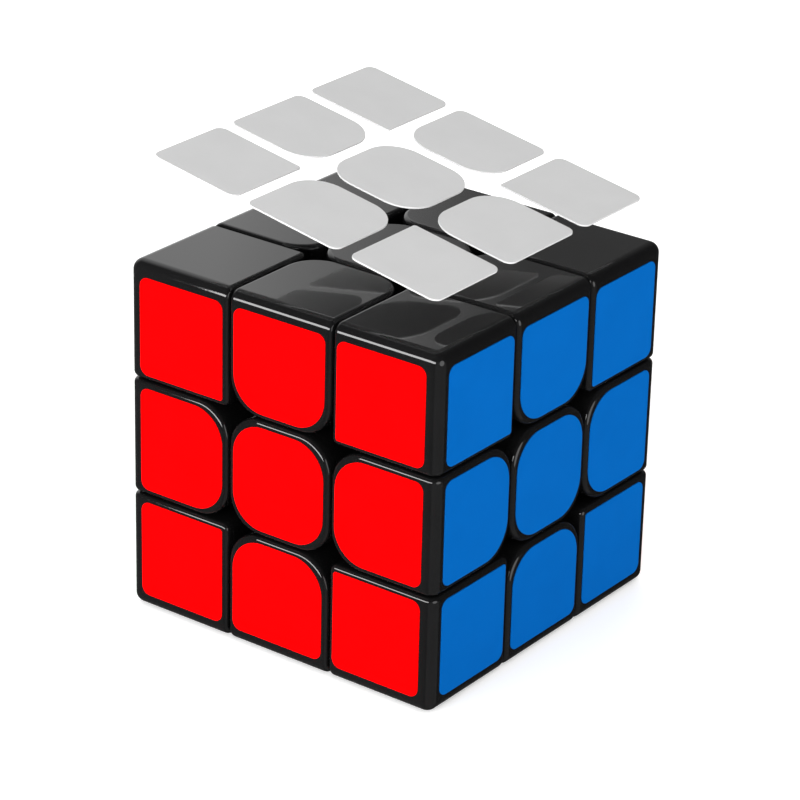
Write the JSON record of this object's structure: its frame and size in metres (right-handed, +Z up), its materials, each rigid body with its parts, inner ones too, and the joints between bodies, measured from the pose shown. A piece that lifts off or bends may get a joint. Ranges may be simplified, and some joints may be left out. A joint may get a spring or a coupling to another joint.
{
  "type": "twisty puzzle cube",
  "caption": "Twisty puzzle cube: a sprung core holds hooked centres, edges and corners so each face turns; white stickers stand lifted off the top as one tilted sheet.",
  "frame": {"origin": "bottom centre of the cube, on the surface it stands on", "axes": "+Z up through the top face, -Y out of the front face, +X out of the right face"},
  "size_m": [0.0556, 0.0556, 0.0714],
  "materials": {
    "black_plastic": "glossy moulded black ABS",
    "core_plastic": "satin moulded nylon",
    "steel": "zinc-plated steel",
    "sticker_film": "satin vinyl film"
  },
  "bodies": {
    "core": {"core": "core_plastic", "screw_u": "steel", "spring_u": "steel", "washer_u": "steel", "screw_d": "steel", "spring_d": "steel", "washer_d": "steel", "screw_r": "steel", "spring_r": "steel", "washer_r": "steel", "screw_l": "steel", "spring_l": "steel", "washer_l": "steel", "screw_f": "steel", "spring_f": "steel", "washer_f": "steel", "screw_b": "steel", "spring_b": "steel", "washer_b": "steel"},
    "centre_u": {"centre_u": "black_plastic", "cap_u": "black_plastic"},
    "centre_d": {"centre_d": "black_plastic", "cap_d": "black_plastic"},
    "centre_r": {"centre_r": "black_plastic", "cap_r": "black_plastic"},
    "centre_l": {"centre_l": "black_plastic", "cap_l": "black_plastic"},
    "centre_f": {"centre_f": "black_plastic", "cap_f": "black_plastic"},
    "centre_b": {"centre_b": "black_plastic", "cap_b": "black_plastic"},
    "edge_ur": {"edge_ur": "black_plastic"},
    "edge_ul": {"edge_ul": "black_plastic"},
    "edge_uf": {"edge_uf": "black_plastic"},
    "edge_ub": {"edge_ub": "black_plastic"},
    "edge_dr": {"edge_dr": "black_plastic"},
    "edge_dl": {"edge_dl": "black_plastic"},
    "edge_df": {"edge_df": "black_plastic"},
    "edge_db": {"edge_db": "black_plastic"},
    "edge_fr": {"edge_fr": "black_plastic"},
    "edge_fl": {"edge_fl": "black_plastic"},
    "edge_br": {"edge_br": "black_plastic"},
    "edge_bl": {"edge_bl": "black_plastic"},
    "corner_urf": {"corner_urf": "black_plastic"},
    "corner_urb": {"corner_urb": "black_plastic"},
    "corner_ulf": {"corner_ulf": "black_plastic"},
    "corner_ulb": {"corner_ulb": "black_plastic"},
    "corner_drf": {"corner_drf": "black_plastic"},
    "corner_drb": {"corner_drb": "black_plastic"},
    "corner_dlf": {"corner_dlf": "black_plastic"},
    "corner_dlb": {"corner_dlb": "black_plastic"},
    "sticker_u": {"sticker_u": "sticker_film"},
    "sticker_ul": {"sticker_ul": "sticker_film"},
    "sticker_ur": {"sticker_ur": "sticker_film"},
    "sticker_uf": {"sticker_uf": "sticker_film"},
    "sticker_ub": {"sticker_ub": "sticker_film"},
    "sticker_urf": {"sticker_urf": "sticker_film"},
    "sticker_urb": {"sticker_urb": "sticker_film"},
    "sticker_ulf": {"sticker_ulf": "sticker_film"},
    "sticker_ulb": {"sticker_ulb": "sticker_film"}
  },
  "joints": [
    {"name": "u_turn", "type": "hinge", "parent": "core", "child": "centre_u", "pos_m": [0, 0, 0.02775], "axis": [0, 0, 1], "continuous": true},
    {"name": "d_turn", "type": "hinge", "parent": "core", "child": "centre_d", "pos_m": [0, 0, 0.02775], "axis": [0, 0, 1], "continuous": true},
    {"name": "r_turn", "type": "hinge", "parent": "core", "child": "centre_r", "pos_m": [0, 0, 0.02775], "axis": [1, 0, 0], "continuous": true},
    {"name": "l_turn", "type": "hinge", "parent": "core", "child": "centre_l", "pos_m": [0, 0, 0.02775], "axis": [1, 0, 0], "continuous": true},
    {"name": "f_turn", "type": "hinge", "parent": "core", "child": "centre_f", "pos_m": [0, 0, 0.02775], "axis": [0, 1, 0], "continuous": true},
    {"name": "b_turn", "type": "hinge", "parent": "core", "child": "centre_b", "pos_m": [0, 0, 0.02775], "axis": [0, 1, 0], "continuous": true},
    {"name": "edge_ur_with_r", "type": "hinge", "parent": "centre_u", "child": "edge_ur", "pos_m": [0, 0, 0.02775], "axis": [1, 0, 0], "continuous": true},
    {"name": "edge_ul_with_l", "type": "hinge", "parent": "centre_u", "child": "edge_ul", "pos_m": [0, 0, 0.02775], "axis": [1, 0, 0], "continuous": true},
    {"name": "edge_uf_with_u", "type": "hinge", "parent": "centre_f", "child": "edge_uf", "pos_m": [0, 0, 0.02775], "axis": [0, 0, 1], "continuous": true},
    {"name": "edge_ub_with_u", "type": "hinge", "parent": "centre_b", "child": "edge_ub", "pos_m": [0, 0, 0.02775], "axis": [0, 0, 1], "continuous": true},
    {"name": "edge_dr_with_r", "type": "hinge", "parent": "centre_d", "child": "edge_dr", "pos_m": [0, 0, 0.02775], "axis": [1, 0, 0], "continuous": true},
    {"name": "edge_dl_with_l", "type": "hinge", "parent": "centre_d", "child": "edge_dl", "pos_m": [0, 0, 0.02775], "axis": [1, 0, 0], "continuous": true},
    {"name": "edge_df_with_d", "type": "hinge", "parent": "centre_f", "child": "edge_df", "pos_m": [0, 0, 0.02775], "axis": [0, 0, 1], "continuous": true},
    {"name": "edge_db_with_d", "type": "hinge", "parent": "centre_b", "child": "edge_db", "pos_m": [0, 0, 0.02775], "axis": [0, 0, 1], "continuous": true},
    {"name": "edge_fr_with_f", "type": "hinge", "parent": "centre_r", "child": "edge_fr", "pos_m": [0, 0, 0.02775], "axis": [0, 1, 0], "continuous": true},
    {"name": "edge_fl_with_f", "type": "hinge", "parent": "centre_l", "child": "edge_fl", "pos_m": [0, 0, 0.02775], "axis": [0, 1, 0], "continuous": true},
    {"name": "edge_br_with_b", "type": "hinge", "parent": "centre_r", "child": "edge_br", "pos_m": [0, 0, 0.02775], "axis": [0, 1, 0], "continuous": true},
    {"name": "edge_bl_with_b", "type": "hinge", "parent": "centre_l", "child": "edge_bl", "pos_m": [0, 0, 0.02775], "axis": [0, 1, 0], "continuous": true},
    {"name": "corner_urf_with_f", "type": "hinge", "parent": "edge_ur", "child": "corner_urf", "pos_m": [0, 0, 0.02775], "axis": [0, 1, 0], "continuous": true},
    {"name": "corner_urb_with_b", "type": "hinge", "parent": "edge_ur", "child": "corner_urb", "pos_m": [0, 0, 0.02775], "axis": [0, 1, 0], "continuous": true},
    {"name": "corner_ulf_with_f", "type": "hinge", "parent": "edge_ul", "child": "corner_ulf", "pos_m": [0, 0, 0.02775], "axis": [0, 1, 0], "continuous": true},
    {"name": "corner_ulb_with_b", "type": "hinge", "parent": "edge_ul", "child": "corner_ulb", "pos_m": [0, 0, 0.02775], "axis": [0, 1, 0], "continuous": true},
    {"name": "corner_drf_with_f", "type": "hinge", "parent": "edge_dr", "child": "corner_drf", "pos_m": [0, 0, 0.02775], "axis": [0, 1, 0], "continuous": true},
    {"name": "corner_drb_with_b", "type": "hinge", "parent": "edge_dr", "child": "corner_drb", "pos_m": [0, 0, 0.02775], "axis": [0, 1, 0], "continuous": true},
    {"name": "corner_dlf_with_f", "type": "hinge", "parent": "edge_dl", "child": "corner_dlf", "pos_m": [0, 0, 0.02775], "axis": [0, 1, 0], "continuous": true},
    {"name": "corner_dlb_with_b", "type": "hinge", "parent": "edge_dl", "child": "corner_dlb", "pos_m": [0, 0, 0.02775], "axis": [0, 1, 0], "continuous": true},
    {"name": "peel_u", "type": "hinge", "parent": "centre_u", "child": "sticker_u", "pos_m": [0.0616, 0, 0.06103], "axis": [0, 1, 0], "range_deg": [-10.25, 0]},
    {"name": "peel_ul", "type": "hinge", "parent": "edge_ul", "child": "sticker_ul", "pos_m": [0.0616, 0, 0.06103], "axis": [0, 1, 0], "range_deg": [-10.25, 0]},
    {"name": "peel_ur", "type": "hinge", "parent": "edge_ur", "child": "sticker_ur", "pos_m": [0.0616, 0, 0.06103], "axis": [0, 1, 0], "range_deg": [-10.25, 0]},
    {"name": "peel_uf", "type": "hinge", "parent": "edge_uf", "child": "sticker_uf", "pos_m": [0.0616, 0, 0.06103], "axis": [0, 1, 0], "range_deg": [-10.25, 0]},
    {"name": "peel_ub", "type": "hinge", "parent": "edge_ub", "child": "sticker_ub", "pos_m": [0.0616, 0, 0.06103], "axis": [0, 1, 0], "range_deg": [-10.25, 0]},
    {"name": "peel_urf", "type": "hinge", "parent": "corner_urf", "child": "sticker_urf", "pos_m": [0.0616, 0, 0.06103], "axis": [0, 1, 0], "range_deg": [-10.25, 0]},
    {"name": "peel_urb", "type": "hinge", "parent": "corner_urb", "child": "sticker_urb", "pos_m": [0.0616, 0, 0.06103], "axis": [0, 1, 0], "range_deg": [-10.25, 0]},
    {"name": "peel_ulf", "type": "hinge", "parent": "corner_ulf", "child": "sticker_ulf", "pos_m": [0.0616, 0, 0.06103], "axis": [0, 1, 0], "range_deg": [-10.25, 0]},
    {"name": "peel_ulb", "type": "hinge", "parent": "corner_ulb", "child": "sticker_ulb", "pos_m": [0.0616, 0, 0.06103], "axis": [0, 1, 0], "range_deg": [-10.25, 0]}
  ],
  "couplings": [
    {"joint": "edge_ur_with_r", "follows": "r_turn", "ratio": 1},
    {"joint": "edge_ul_with_l", "follows": "l_turn", "ratio": 1},
    {"joint": "edge_uf_with_u", "follows": "u_turn", "ratio": 1},
    {"joint": "edge_ub_with_u", "follows": "u_turn", "ratio": 1},
    {"joint": "edge_dr_with_r", "follows": "r_turn", "ratio": 1},
    {"joint": "edge_dl_with_l", "follows": "l_turn", "ratio": 1},
    {"joint": "edge_df_with_d", "follows": "d_turn", "ratio": 1},
    {"joint": "edge_db_with_d", "follows": "d_turn", "ratio": 1},
    {"joint": "edge_fr_with_f", "follows": "f_turn", "ratio": 1},
    {"joint": "edge_fl_with_f", "follows": "f_turn", "ratio": 1},
    {"joint": "edge_br_with_b", "follows": "b_turn", "ratio": 1},
    {"joint": "edge_bl_with_b", "follows": "b_turn", "ratio": 1},
    {"joint": "corner_urf_with_f", "follows": "f_turn", "ratio": 1},
    {"joint": "corner_urb_with_b", "follows": "b_turn", "ratio": 1},
    {"joint": "corner_ulf_with_f", "follows": "f_turn", "ratio": 1},
    {"joint": "corner_ulb_with_b", "follows": "b_turn", "ratio": 1},
    {"joint": "corner_drf_with_f", "follows": "f_turn", "ratio": 1},
    {"joint": "corner_drb_with_b", "follows": "b_turn", "ratio": 1},
    {"joint": "corner_dlf_with_f", "follows": "f_turn", "ratio": 1},
    {"joint": "corner_dlb_with_b", "follows": "b_turn", "ratio": 1},
    {"joint": "peel_ul", "follows": "peel_u", "ratio": 1},
    {"joint": "peel_ur", "follows": "peel_u", "ratio": 1},
    {"joint": "peel_uf", "follows": "peel_u", "ratio": 1},
    {"joint": "peel_ub", "follows": "peel_u", "ratio": 1},
    {"joint": "peel_urf", "follows": "peel_u", "ratio": 1},
    {"joint": "peel_urb", "follows": "peel_u", "ratio": 1},
    {"joint": "peel_ulf", "follows": "peel_u", "ratio": 1},
    {"joint": "peel_ulb", "follows": "peel_u", "ratio": 1}
  ]
}
